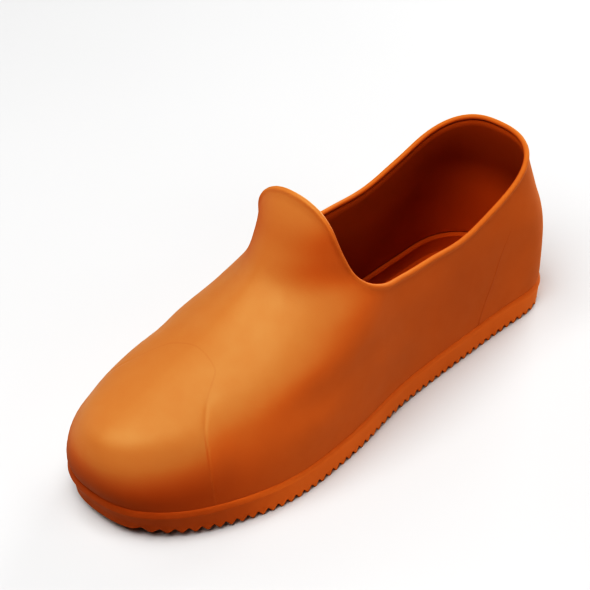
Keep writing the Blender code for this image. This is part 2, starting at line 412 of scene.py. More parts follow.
class RubberFinish(bpy.types.PropertyGroup):
    """Colours and gloss of the moulded rubber."""

    upper_colour: tint("Upper", "Colour of the upper", (0.45, 0.125, 0.027))
    # Painted highlight: a paler, yellower colour where the rubber faces up towards the overhead light
    highlight_colour: tint("Crown", "Faded colour of the parts that face the sky", (0.430, 0.174, 0.055))
    # Painted shade: the darker colour low on the toe, in soft patches, on the heel-counter lines, on the
    # sole's shoulder and along the toe cap's edge
    painted_shade_colour: tint("Painted shade", "Darker colour low on the toe and in smudges", (0.28, 0.060, 0.010))
    sole_colour: tint("Sole", "Colour of the outsole", (0.60, 0.170, 0.032))
    # Paler edge colour: a painted highlight on the collar bead and in the toe cap's groove, and the rubbed
    # tread edges
    edge_highlight_and_wear_colour: tint("Edges", "Paler colour of the thin rolled edges", (0.56, 0.185, 0.040))
    lining_colour: tint("Inside", "Colour of the matt inner face", (0.38, 0.090, 0.012))
    roughness: setting("Roughness", "Mean roughness outside", 0.66, subtype="FACTOR", min=0.0, max=1.0)


class StudioSetting(bpy.types.PropertyGroup):
    """Camera, floor and lights."""

    azimuth: setting("Azimuth", "Turn of the camera round the shoe", math.radians(42.55), subtype="ANGLE")
    elevation: setting("Elevation", "Height angle of the camera", math.radians(37.08), subtype="ANGLE")
    distance: metres("Distance", "Distance from the camera to the shoe", 0.90114)
    lens: setting("Lens", "Focal length in millimetres on a 36 mm sensor", 116.4, unit="CAMERA")
    floor_colour: tint("Floor", "Colour of the studio floor", (0.60, 0.60, 0.60))
    key_power: watts("Overhead light", "Power of the overhead softbox", 17.9)
    heel_power: watts("Heel light", "Power of the low softbox behind the heel", 17.0)
    outer_power: watts("Outer light", "Power of the low softbox on the outer side", 4.6)
    inner_power: watts("Inner light", "Power of the low softbox on the inner side", 2.8)
    surround: setting("Surround", "Strength of the light from all round", 0.03, min=0.0)
    backdrop: setting("Backdrop", "Brightness of the plain backdrop behind the floor", 0.95, min=0.0)


def ease(u):
    u = np.clip(u, 0.0, 1.0)
    return u * u * (3 - 2 * u)


def ramp(value, low, high):
    """An eased step: 0 up to low, 1 from high on."""
    return ease((value - low) / (high - low))


def unit(vectors):
    return vectors / np.linalg.norm(vectors, axis=-1, keepdims=True)


def travelled(points):
    """Distances along a polyline to each of its points."""
    return np.concatenate([[0.0], np.cumsum(np.linalg.norm(np.diff(points, axis=0), axis=1))])


def along(points, distances):
    """Points at these distances along a polyline."""
    travel = travelled(points)
    return np.stack([np.interp(distances, travel, line) for line in points.T], axis=1)


def to_frame(points):
    """Blender coordinates of points given as sideways, station and height."""
    x, station, z = np.moveaxis(np.asarray(points), -1, 0)
    return np.stack([x - MID_SIDE, MID_STATION - station, z], axis=-1)


def from_frame(places):
    """Sideways places, stations and heights of points in Blender coordinates, as three arrays."""
    x, y, z = np.moveaxis(np.asarray(places), -1, 0)
    return x + MID_SIDE, MID_STATION - y, z


def end_cap(distance, length, power):
    """How far the breadth has grown at a distance from a rounded end: 0 at the tip, 1 past the length."""
    u = np.clip(1 - distance / length, 0.0, ALMOST_ONE)
    return (1 - u**power) ** (1 / power)


def half_breadth(station, height, side):
    breadth = outer_breadth(station) if side > 0 else inner_breadth(station)
    low, high = INNER_NOSE_BLEND
    inner = INNER_NOSE + (1 - INNER_NOSE) * np.clip((height - low) / (high - low), 0.0, 1.0)
    shorten = 1.0 if side > 0 else inner
    toe = end_cap(front(height) - station, nose(height) * shorten, roundness(height))
    heel = end_cap(station - back(height), HEEL_LENGTH, HEEL_SQUARENESS)
    return breadth * level_breadth(height) * toe * heel


def centre(station):
    return TIP_OFFSET * ease((station / LAST_LENGTH - BEND_START) / (1 - BEND_START))


def spring(station):
    """The square ramp from the start of the toe spring, 1 at the full length."""
    u = (station / LAST_LENGTH - TOE_SPRING_START) / (1 - TOE_SPRING_START)
    return np.clip(u, 0.0, None) ** 2


def unsprung(station, z):
    """Heights on the last, with the lift of the toe spring taken off."""
    return z - RIDGE_SPRING * spring(station)


def ridge_height(station):
    return RIDGE_HEIGHT + RIDGE_SPRING * spring(station)


def underside_height(station):
    """The plane of the rib crests: flat under the heel and the ball, risen between them and at both ends."""
    start, end = ARCH_RUN
    u = np.clip((station / LAST_LENGTH - start) / (end - start), 0.0, 1.0)
    heel = np.clip(1 - station / (HEEL_RISE_RUN * LAST_LENGTH), 0.0, None) ** 2
    return TOE_SPRING * spring(station) + ARCH_RISE * np.sin(math.pi * u) ** 2 + HEEL_RISE * heel


def outer_share(x, station):
    """How far a place lies on the outer side of the shoe, from 0 to 1 across its middle line."""
    return 0.5 + 0.5 * np.tanh((x - centre(station)) / SIDE_BLEND)


def patches(rows, x, station, height):
    """The sum of a table's soft oval patches at places on the shoe."""
    outer = outer_share(x, station)
    total = np.zeros(x.shape)
    for side, mid_station, mid_height, lean, length, width, strength in rows:
        cos, sin = math.cos(math.radians(lean)), math.sin(math.radians(lean))
        ahead, above = station / MM - mid_station, height / MM - mid_height
        run = (ahead * cos + above * sin) / length
        off = (above * cos - ahead * sin) / width
        on_side = {1: outer, -1: 1 - outer, 0: 1.0}[side]
        total += strength * on_side * np.exp(-run * run - off * off)
    return total


def side_view_grid():
    """Stations and heights of a blend between the sole ridge, the collar, the heel and the vamp lines."""
    k = np.linspace(0.0, 1.0, FINE_ROWS)[:, None]
    t = (1 - np.cos(math.pi * np.linspace(0.0, 1.0, FINE_COLUMNS)))[None, :] / 2
    heel_height = RIDGE_HEIGHT + (HEEL_TOP - RIDGE_HEIGHT) * k
    vamp_height = np.linspace(RIDGE_HEIGHT, FLAP_TOP, FINE_COLUMNS)
    vamp = np.stack([front(vamp_height), vamp_height], axis=1)
    vamp = along(vamp, k[:, 0] * travelled(vamp)[-1])
    ridge_station = back(RIDGE_HEIGHT) + (front(RIDGE_HEIGHT) - back(RIDGE_HEIGHT)) * t

    def blend(heel, toe, low, high):
        low_line = low - (1 - t) * low[:, :1] - t * low[:, -1:]
        high_line = high - (1 - t) * high[:, :1] - t * high[:, -1:]
        return (1 - t) * heel + t * toe + (1 - k) * low_line + k * high_line

    stations = blend(back(heel_height), vamp[:, :1], ridge_station, collar_station(t))
    heights = blend(heel_height, vamp[:, 1:], RIDGE_HEIGHT + 0 * t, collar_height(t))
    return stations, heights


def outward(rings):
    """Unit normals of a surface given as closed rings of points in the frame."""
    round_ring = np.roll(rings, -1, axis=1) - np.roll(rings, 1, axis=1)
    return unit(np.cross(np.gradient(rings, axis=0), round_ring))


def cap_distance(station, height):
    """How far a place in side view lies in front of the edge of the toe cap."""
    ahead = toe_cap_station(height + CAP_SLOPE_STEP) - toe_cap_station(height - CAP_SLOPE_STEP)
    slope = ahead / (2 * CAP_SLOPE_STEP)
    return (station - toe_cap_station(height)) / np.hypot(1.0, slope)


def cap_groove(station, height):
    """How deep in the groove of the toe cap a place in side view lies, from 0 outside it to 1."""
    ends = (1 - ramp(height, *CAP_GROOVE_FADE)) * ease((height - RIDGE_HEIGHT) / CAP_GROOVE_START)
    return ends * np.exp(-((cap_distance(station, height) / CAP_GROOVE_WIDTH) ** 2))


def along_surface(distance, places):
    """Distances from a line, measured along a surface of rings instead of in side view."""
    up, across = np.gradient(places, axis=(0, 1))
    change_up, change_across = np.gradient(distance)
    up_square, across_square = (up * up).sum(axis=-1), (across * across).sum(axis=-1)
    lean = (across * up).sum(axis=-1)
    change = across_square * change_up**2 + up_square * change_across**2
    change = change - 2 * lean * change_across * change_up
    steepness = np.sqrt(change / (across_square * up_square - lean**2))
    return distance / np.maximum(steepness, LEAST_STEEPNESS)


def soft_relief(points):
    """How far points of the upper move out for creases, the wall's unevenness and the toe cap's groove."""
    x, station, z = np.moveaxis(points, -1, 0)
    height = unsprung(station, z)
    aside = x - centre(station)
    side_phase = np.sign(aside) * ease(np.abs(aside) / WAVE_TURN)
    moved = -MM * patches(CREASES, x, station, height)
    for wave_along, wave_up, phase, rise in WAVES:
        turn = 2 * math.pi * (station / wave_along + height / wave_up) / MM
        moved += rise * MM * np.sin(turn + phase + side_phase)
    groove = CAP_GROOVE_DEPTH * cap_groove(station, height)
    return moved * ease((height - RIDGE_HEIGHT) / RELIEF_START) - groove


def crowded_row(row):
    """A level row of the wall from heel to toe, its points crowded at the edge of the toe cap."""
    travel = travelled(row)
    station, height = row[:, 1], unsprung(row[:, 1], row[:, 2])
    ahead = station - toe_cap_station(height)
    i = np.argmax(ahead > 0) if ahead[-1] > 0 else len(row) - 1
    low, high = CAP_GROOVE_FADE
    crowding = CAP_CROWDING * (1 - ramp(height[i], low, high + CAP_CROWD_OVERRUN) ** 2)
    density = 1 + crowding * np.exp(-(((travel - travel[i]) / CAP_CROWDED) ** 2))
    share = np.concatenate([[0.0], np.cumsum((density[1:] + density[:-1]) / 2 * np.diff(travel))])
    return along(row, np.interp(np.linspace(0.0, share[-1], HALF_COLUMNS), share, travel))


def upper_surface(bead_radius):
    """Rings of points and normals round the upper, from the sole ridge up to the bead and then the rim."""
    stations, heights = side_view_grid()
    halves = []
    for side in (1, -1):
        x = centre(stations) + side * half_breadth(stations, heights, side)
        z = heights + RIDGE_SPRING * spring(stations)
        rows = [np.stack(row, axis=1) for row in zip(x, stations, z)]
        halves.append([crowded_row(row) for row in rows])
    outer, inner = np.array(halves)
    rings = np.concatenate([outer, inner[:, -2:0:-1]], axis=1)
    uprights = []
    for upright in rings.transpose(1, 0, 2):
        wall = np.linspace(BEAD_REACH * bead_radius, travelled(upright)[-1], WALL_ROWS)
        uprights.append(along(upright[::-1], np.concatenate([[0.0], wall]))[::-1])
    rings = np.array(uprights).transpose(1, 0, 2)
    relief = soft_relief(rings)[..., None]
    rings = to_frame(rings)
    rings = rings + outward(rings) * relief
    return rings, outward(rings)


def highlight_and_polish_share(places, normals):
    """How much painted highlight and polish the rubber gets: 0 on walls, 1 where it faces up towards the
    overhead light, and sooner on the outer toe cap.
    """
    x, station, z = from_frame(places)
    cap = ease(cap_distance(station, unsprung(station, z)) / CAP_CROWN_EDGE + 0.5) * outer_share(x, station)
    low, high = (plain + (on_cap - plain) * cap for plain, on_cap in zip(CROWN_RUN, CAP_CROWN_RUN))
    return ramp(normals @ np.array(CROWN_FACING), low, high)


def painted_shade_share(places):
    """How much painted shade points in the frame get low on the toe and in soft patches, from 0 to 1."""
    x, station, height = from_frame(places)
    foot, full, end = TOE_SHADE_HEIGHTS
    at_foot = TOE_SHADE_AT_FOOT + (1 - TOE_SHADE_AT_FOOT) * ramp(height, foot, full)
    low = ramp(station, *TOE_SHADE_STATIONS) * at_foot * (1 - ramp(height, full, end))
    return np.clip(low + patches(DARK_PATCHES, x, station, height), 0.0, 1.0)


def tube_on_rings(name, rings, marks):
    """A tube cut into rings in edit mode, with its vertices then laid on these points and marked."""
    rings = np.asarray(rings)
    count, around = rings.shape[:2]
    bpy.ops.object.select_all(action="DESELECT")
    bpy.ops.mesh.primitive_cylinder_add(vertices=around, radius=1.0, depth=2.0, end_fill_type="NOTHING")
    made = bpy.context.object
    made.name = name
    made.data.name = name
    bpy.ops.object.mode_set(mode="EDIT")
    bpy.ops.mesh.select_mode(type="EDGE")
    bpy.ops.mesh.select_all(action="DESELECT")
    bm = bmesh.from_edit_mesh(made.data)
    for edge in bm.edges:
        edge.select_set(abs(edge.verts[0].co.z - edge.verts[1].co.z) > 1.0)
    bmesh.update_edit_mesh(made.data)
    bpy.ops.mesh.subdivide(number_cuts=count - 2)
    bpy.ops.object.mode_set(mode="OBJECT")
    places = np.empty(3 * len(made.data.vertices))
    made.data.vertices.foreach_get("co", places)
    x, y, z = places.reshape(-1, 3).T
    column = np.round(np.arctan2(x, y) * around / (2 * math.pi)).astype(int) % around
    row = np.round((z + 1) * (count - 1) / 2).astype(int)
    made.data.vertices.foreach_set("co", rings[row, column].reshape(-1))
    # Painted shade given with the piece, raised to the painted shade low on the toe and in soft patches
    shade_mark = np.reshape(marks.get("grime", 0.0), (-1, 1))
    marks = {**marks, "grime": np.maximum(shade_mark, painted_shade_share(rings))}
    for mark, values in marks.items():
        layer = made.data.attributes.new(mark, "FLOAT", "POINT")
        values = np.broadcast_to(np.asarray(values, float).reshape(count, -1), (count, around))
        layer.data.foreach_set("value", values[row, column])
    layer = made.data.attributes.new("column", "INT", "POINT")
    layer.data.foreach_set("value", column.astype(np.int32))
    made.data.update()
    bpy.ops.object.mode_set(mode="EDIT")
    return made


def select_open_edges(made, wanted):
    """Select the open edges that pass a test of their two columns and their inside mark, in edit mode."""
    bpy.ops.mesh.select_all(action="DESELECT")
    bm = bmesh.from_edit_mesh(made.data)
    column = bm.verts.layers.int["column"]
    inside = bm.verts.layers.float["inside"]
    for edge in bm.edges:
        if edge.is_boundary and wanted([vert[column] for vert in edge.verts], edge.verts[0][inside]):
            edge.select_set(True)
    bmesh.update_edit_mesh(made.data)


def close_piece(made, material, smooth_angle, replaced=None):
    """Leave edit mode with the faces outwards, shade the piece, and hang it on the body with its finish."""
    bpy.ops.mesh.select_all(action="SELECT")
    bpy.ops.mesh.normals_make_consistent(inside=False)
    bpy.ops.object.mode_set(mode="OBJECT")
    made.data.attributes.remove(made.data.attributes["column"])
    bpy.ops.object.shade_smooth_by_angle(angle=math.radians(smooth_angle))
    made.data.materials.append(material)
    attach(made, "root")
    if replaced:
        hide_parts(replaced)


class Value:
    """One shader socket; sums, differences and products of values add Math nodes."""

    def __init__(self, look, socket):
        self.look = look
        self.socket = socket

    def worked(self, operation, first, second):
        made = self.look.node("ShaderNodeMath", {"operation": operation}, {0: first, 1: second})
        return Value(self.look, made.outputs[0])

    def __add__(self, other):
        return self.worked("ADD", self, other)

    def __radd__(self, other):
        return self.worked("ADD", other, self)

    def __sub__(self, other):
        return self.worked("SUBTRACT", self, other)

    def __rsub__(self, other):
        return self.worked("SUBTRACT", other, self)

    def __mul__(self, other):
        return self.worked("MULTIPLY", self, other)

    def __rmul__(self, other):
        return self.worked("MULTIPLY", other, self)


class Look:
    """A node material under construction."""

    def __init__(self, name):
        self.material = bpy.data.materials.new(name)
        self.material.use_nodes = True
        self.tree = self.material.node_tree
        self.tree.nodes.clear()
        self.place = Value(self, self.node("ShaderNodeTexCoord").outputs["Object"])

    def node(self, kind, settings=None, sockets=None):
        made = self.tree.nodes.new(kind)
        for name, value in (settings or {}).items():
            setattr(made, name, value)
        for key, value in (sockets or {}).items():
            found = [socket for socket in made.inputs if key in (socket.identifier, socket.name)]
            socket = made.inputs[key] if isinstance(key, int) else found[0]
            if isinstance(value, Value):
                self.tree.links.new(value.socket, socket)
            else:
                socket.default_value = value
        return made

    def noise(self, size, detail):
        """Noise with features of this size in metres, from 0 to 1."""
        sockets = {"Vector": self.place, "Scale": 1 / size, "Detail": detail}
        return Value(self, self.node("ShaderNodeTexNoise", {}, sockets).outputs["Fac"])

    def spread(self, value, low, high):
        """A value stretched so that low becomes 0 and high becomes 1."""
        sockets = {"Value": value, "From Min": low, "From Max": high}
        return Value(self, self.node("ShaderNodeMapRange", {"clamp": True}, sockets).outputs["Result"])

    def mark(self, name):
        """An attribute of the piece's own points."""
        return Value(self, self.node("ShaderNodeAttribute", {"attribute_name": name}).outputs["Fac"])

    def mix(self, factor, first, second):
        sockets = {"Factor_Float": factor, "A_Color": first, "B_Color": second}
        made = self.node("ShaderNodeMix", {"data_type": "RGBA"}, sockets)
        return Value(self, next(socket for socket in made.outputs if socket.identifier == "Result_Color"))

    def drifting(self, value, colour, change):
        """A colour that goes from darker to lighter by this share as the value goes from 0 to 1."""
        return self.mix(value, shade(colour, 1 - change), shade(colour, 1 + change))

    def bump(self, height, depth, strength):
        sockets = {"Height": height, "Distance": depth, "Strength": strength}
        return Value(self, self.node("ShaderNodeBump", {}, sockets).outputs["Normal"])

    def from_middle(self):
        """The distance from the piece's origin."""
        made = self.node("ShaderNodeVectorMath", {"operation": "LENGTH"}, {0: self.place})
        return Value(self, made.outputs["Value"])

    def finish(self, **sockets):
        named_sockets = {name.replace("_", " "): value for name, value in sockets.items()}
        shader = self.node("ShaderNodeBsdfPrincipled", {}, named_sockets)
        self.node("ShaderNodeOutputMaterial", {}, {"Surface": Value(self, shader.outputs["BSDF"])})
        return self.material


def shade(colour, factor=1.0):
    return (*(min(1.0, part * factor) for part in colour), 1.0)


def rubber_material(name, colour, finish):
    """Satin moulded rubber: tone drift, mould grain, a polished crown with a painted highlight, painted
    highlights and rubbed tread edges in a paler edge colour, painted shade and a matt inside.
    """
    existing = bpy.data.materials.get(name)
    if existing:
        return existing
    look = Look(name)
    edge, inside, crown, grime = (look.mark(mark) for mark in ("edge", "inside", "crown", "grime"))
    drift = look.spread(look.noise(*DRIFT_NOISE), *NOISE_RANGE)
    cloud = look.spread(look.noise(*CLOUD_NOISE), *NOISE_RANGE)
    cover = COVER_SHARE + (1 - COVER_SHARE) * drift
    grain = look.noise(*GRAIN_NOISE) + COARSE_SHARE * look.noise(*COARSE_NOISE)
    ahead = (look.mark("cap_field") - 0.5) * (2 * CAP_FIELD_REACH / CAP_LINE_HALF_WIDTH)
    cap_shade_line = look.spread(1 - ahead * ahead, 0.0, 1.0) * look.mark("cap_top")
    body = look.drifting(drift, colour, DRIFT_TONE)
    # Painted highlight: the paler, yellower colour where the rubber faces up towards the overhead light
    body = look.mix(crown, body, shade(finish.highlight_colour))
    body = look.mix(cloud * CLOUD_SHARE, body, shade(colour, CLOUD_TONE))
    # Paler edge colour: painted highlights on the collar bead and in the toe cap's groove, and rubbed tread
    # edges
    body = look.mix(edge * (EDGE_SHARE + EDGE_CLOUDING * cloud), body, shade(finish.edge_highlight_and_wear_colour))
    # Painted shade: low on the toe, in soft patches, on the heel-counter lines and on the sole's shoulder
    body = look.mix(grime * cover, body, shade(finish.painted_shade_colour))
    # Painted shade: a thin dark line along the toe cap's edge over the toe, where the groove has faded out
    body = look.mix(cap_shade_line * CAP_SHADE_LINE_TONE, body, shade(finish.painted_shade_colour))
    body = look.mix(inside * cover, body, shade(finish.lining_colour))
    roughness = finish.roughness + DRIFT_ROUGHNESS * drift + CLOUD_ROUGHNESS * cloud
    roughness = roughness + LINING_ROUGHNESS * inside - CROWN_POLISH * crown - EDGE_POLISH * edge
    return look.finish(
        Base_Color=body,
        Roughness=roughness,
        Normal=look.bump(grain, GRAIN_DEPTH, GRAIN_STRENGTH),
        Specular_IOR_Level=RUBBER_SPECULAR,
        Specular_Tint=RUBBER_SPECULAR_TINT,
    )


def collar_bead(rings, normals, turns, sizes):
    """Rings round the rolled edge of the collar, from its outer side over the top to its inner side."""
    rim = rings[-1]
    up = unit(rim - rings[-2])
    out = unit(normals[-1] - up * (normals[-1] * up).sum(axis=1, keepdims=True))
    middle = rim + out * (sizes.bead_proud - sizes.bead_radius) - up * sizes.bead_radius
    return [middle + sizes.bead_radius * (out * math.cos(turn) + up * math.sin(turn)) for turn in turns]


class OVERSHOE_OT_make_upper(bpy.types.Operator):
    """Model the hollow upper with its wall, collar bead, soft creases and toe-cap groove"""

    bl_idname = "overshoe.make_upper"
    bl_label = "Make Upper"
    bl_options = {"REGISTER", "UNDO"}

    def execute(self, context):
        sizes = context.scene.overshoe_upper
        finish = context.scene.overshoe_finish
        rings, normals = upper_surface(sizes.bead_radius)
        wall = rings[:-1]
        lining = (wall - normals[:-1] * sizes.wall)[::-LINING_STEP]
        turns = np.radians(np.linspace(*BEAD_SWEEP, BEAD_ROWS))
        bead = collar_bead(rings, normals, turns, sizes)
        sink = np.array([0.0, 0.0, SEAT_SINK])
        laid = [wall[0] - sink, *wall, *bead, *lining, lining[-1] - sink]

        def mark(on_wall, on_bead, on_lining):
            parts = ((1, 0.0), (len(wall), on_wall), (len(bead), on_bead), (len(lining) + 1, on_lining))
            return np.concatenate([np.broadcast_to(value, (rows, rings.shape[1])) for rows, value in parts])

        _, station, z = from_frame(wall)
        height = unsprung(station, z)
        # Painted highlight in the toe cap's groove, full low on the toe and fading out higher up
        worn = CAP_LINE_HIGHLIGHT * (1 - ramp(height, *CAP_LINE_HIGHLIGHT_FADE)) * cap_groove(station, height)
        bead_highlight_and_polish = highlight_and_polish_share(rings[-2], normals[-2])
        cap_field = 0.5 + along_surface(cap_distance(station, height), wall) / (2 * CAP_FIELD_REACH)
        # The edge mark carries painted highlights here: in the toe cap's groove and on the collar bead
        marks = {
            "edge": mark(worn, BEAD_HIGHLIGHT, 0.0),
            "inside": mark(0.0, ramp(turns, math.pi / 2, math.pi)[:, None], 1.0),
            "crown": mark(highlight_and_polish_share(wall, normals[:-1]), bead_highlight_and_polish, 0.0),
            "cap_field": mark(np.clip(cap_field, 0.0, 1.0), 0.0, 0.0),
            "cap_top": mark(ramp(height, *CAP_GROOVE_FADE), 0.0, 0.0),
        }
        made = tube_on_rings("rubber_upper", laid, marks)
        select_open_edges(made, lambda columns, inside: True)
        bpy.ops.mesh.bridge_edge_loops()
        material = rubber_material("upper_satin_rubber", finish.upper_colour, finish)
        close_piece(made, material, UPPER_SMOOTH, "upper")
        return {"FINISHED"}


def crossings(field, places, normals):
    """Places and normals, side by side, where a field first falls below zero along each row of a grid."""
    found = []
    for values, line, facing in zip(field, places, normals):
        below = np.nonzero(values < 0)[0]
        if len(below) == 0 or below[0] == 0:
            continue
        i = below[0]
        u = values[i - 1] / (values[i - 1] - values[i])
        place = line[i - 1] + u * (line[i] - line[i - 1])
        normal = facing[i - 1] + u * (facing[i] - facing[i - 1])
        found.append(np.concatenate([place, normal]))
    return np.array(found)


def relief_line(name, path, heights, width):
    """A soft raised line along a path on the surface, with its root inside the wall."""
    place, facing = path[:, :3], unit(path[:, 3:])
    ahead = unit(np.gradient(place, axis=0))
    sideways = unit(np.cross(facing, ahead))
    across = np.linspace(-0.5, 0.5, LINE_SAMPLES) * width
    root = LINE_ROOT_SHARE * width
    rings = []
    for i, height in enumerate(heights):
        profile = height * np.cos(math.pi * across / width) ** 2 - LINE_BURY
        section = [*zip(across, profile), (root, -LINE_ROOT), (-root, -LINE_ROOT)]
        rings.append([place[i] + sideways[i] * aside + facing[i] * rise for aside, rise in section])
    marks = {
        "edge": np.zeros(len(rings)),
        "inside": np.zeros(len(rings)),
        "crown": highlight_and_polish_share(place, facing),
        # Painted shade along the line, stronger where it stands taller
        "grime": LINE_SHADE * heights / heights.max(),
    }
    made = tube_on_rings(name, rings, marks)
    bpy.ops.mesh.select_all(action="SELECT")
    bpy.ops.mesh.fill_holes(sides=0)
    return made


class OVERSHOE_OT_make_relief_lines(bpy.types.Operator):
    """Model the raised edge of the heel counter on both sides of the upper"""

    bl_idname = "overshoe.make_relief_lines"
    bl_label = "Make Relief Lines"
    bl_options = {"REGISTER", "UNDO"}

    def execute(self, context):
        sizes = context.scene.overshoe_upper
        finish = context.scene.overshoe_finish
        rings, normals = upper_surface(sizes.bead_radius)
        _, station, z = from_frame(rings)
        behind = heel_counter_station(unsprung(station, z)) - station
        material = rubber_material("upper_satin_rubber", finish.upper_colour, finish)
        sides = {
            "heel_counter_line_outer": slice(HALF_COLUMNS),
            "heel_counter_line_inner": slice(None, HALF_COLUMNS - 1, -1),
        }
        for name, side in sides.items():
            path = crossings(behind[:, side], rings[:, side], normals[:, side])
            path = along(path, np.arange(0.0, travelled(path)[-1], LINE_STEP))
            rise = (path[:, 2] - path[:, 2].min()) / np.ptp(path[:, 2])
            kept = rise < LINE_FADE[1]
            heights = sizes.line_height * (1 - ramp(rise[kept], *LINE_FADE))
            made = relief_line(name, path[kept], heights, sizes.line_width)
            close_piece(made, material, LINE_SMOOTH)
        return {"FINISHED"}


def soft_clamp(u):
    """0 below 0 and 1 above 1, with both corners rounded."""
    r = GROOVE_SOFTNESS
    low = (np.clip(u, -r, r) + r) ** 2 / (4 * r)
    high = (np.clip(1 - u, -r, r) + r) ** 2 / (4 * r)
    return np.where(u < 0.5, low + np.clip(u - r, 0.0, None), 1 - high - np.clip(1 - u - r, 0.0, None))


def groove_rise(station, sizes):
    """How far the tread lies above the rib crests at a station."""
    first, pitch = sizes.first_groove, sizes.rib_pitch
    nearest = first + pitch * np.clip(np.round((station - first) / pitch), 0, sizes.grooves - 1)
    off = np.abs(station - nearest)
    flank = (sizes.groove_mouth - sizes.groove_root) / 2
    worn = 1 - TOE_WEAR * np.clip(spring(station), 0.0, 1.0)
    return sizes.groove_depth * worn * soft_clamp((sizes.groove_mouth / 2 - off) / flank)


class SolePlan:
    """The outline of the last at the sole ridge, spread in or out for every ring of the outsole."""

    def __init__(self):
        t = (1 - np.cos(math.pi * np.linspace(0.0, 1.0, PLAN_POINTS))) / 2
        stations = back(RIDGE_HEIGHT) + (front(RIDGE_HEIGHT) - back(RIDGE_HEIGHT)) * t
        sides = []
        for side in (1, -1):
            x = centre(stations) + side * half_breadth(stations, RIDGE_HEIGHT, side)
            sides.append(np.stack([x, stations], axis=1))
        self.plan = np.concatenate([sides[0], sides[1][-2:0:-1]])
        tangent = np.roll(self.plan, -1, axis=0) - np.roll(self.plan, 1, axis=0)
        self.normal = unit(np.stack([tangent[:, 1], -tangent[:, 0]], axis=1))

    def spread(self, offset):
        """Both sides of the outline, heel to toe, moved out by an offset over the stations."""
        moved = self.plan + self.normal * offset(self.plan[:, 1])[:, None]
        outer = moved[:PLAN_POINTS]
        inner = np.concatenate([moved[:1], moved[: PLAN_POINTS - 2 : -1]])
        return outer, inner

    def ring(self, offset, shares):
        """Sideways places and stations at these shares of a ring's length, out along one side and back."""
        sides = []
        for line in self.spread(offset):
            low, high = line[0, 1], line[-1, 1]
            station = low + (high - low) * shares
            x = np.interp(station, np.maximum.accumulate(line[:, 1]), line[:, 0])
            sides.append(np.stack([x, station], axis=1))
        return np.concatenate([sides[0], sides[1][-2:0:-1]])


class Section(NamedTuple):
    """One ring of the outsole: its offset from the outline and height over the stations, and its marks."""

    offset: Callable
    height: Callable
    edge: float = 0.0
    inside: float = 0.0
    shade_mark: float = 0.0


def raised(curve, rise):
    """A curve over the stations, moved up by a fixed amount."""
    return lambda station: curve(station) + rise


def level(value):
    """The same value at every station."""
    return raised(np.zeros_like, value)


def between(first, second, share):
    """A curve over the stations that lies this share of the way from one curve to another."""
    return lambda station: (1 - share) * first(station) + share * second(station)


def shoulder_sections(sizes):
    """The sole's rounded shoulder, from where it meets the upper out to its edge and under it."""
    proud, height = sizes.shoulder_proud, sizes.shoulder_height
    reach = proud + SHOULDER_ROOT
    sections = []
    for turn in np.linspace(math.pi / 2, 0.0, SHOULDER_ROWS):
        offset = proud - reach + reach * math.cos(turn)
        rise = height * (math.sin(turn) - 1)
        # Painted shade on the shoulder's top, strongest against the upper
        shade_mark = SHOULDER_SHADE * math.sin(turn)
        sections.append(Section(level(offset), raised(ridge_height, rise), shade_mark=shade_mark))
    for turn in np.linspace(0.0, -math.pi / 2, UNDER_ROWS)[1:]:
        offset = proud - sizes.shoulder_step * (1 - math.cos(turn))
        rise = SHOULDER_UNDER * math.sin(turn) - height
        sections.append(Section(level(offset), raised(ridge_height, rise)))
    return sections


def sole_sections(sizes, foot):
    """Every ring of the outsole, from the footbed over the rim and the shoulder down to the tread."""
    rim = -sizes.rim_width
    sections = []
    for inwards, up in FILLET:
        floor = raised(underside_height, sizes.plate + up * MM)
        sections.append(Section(level(rim - inwards * MM), floor, inside=1.0))
    sections.append(Section(level(rim), raised(ridge_height, -RIM_ROUND), inside=1.0))
    sections.append(Section(level(rim + RIM_ROUND), ridge_height, inside=RIM_TOP_LINING))
    sections += shoulder_sections(sizes)
    wall_top = raised(ridge_height, -sizes.shoulder_height - SHOULDER_UNDER)
    wall_foot = raised(underside_height, sizes.groove_depth + WALL_FOOT)
    behind_shoulder = level(sizes.shoulder_proud - sizes.shoulder_step)
    for share in WALL_SHARES:
        sections.append(Section(between(behind_shoulder, foot, share), between(wall_top, wall_foot, share)))

    def tread(station):
        return underside_height(station) + groove_rise(station, sizes)

    sections.append(Section(foot, raised(tread, sizes.edge_round), edge=TREAD_EDGE_WEAR))
    sections.append(Section(raised(foot, -sizes.edge_round), tread, edge=TREAD_EDGE_WEAR))
    return sections


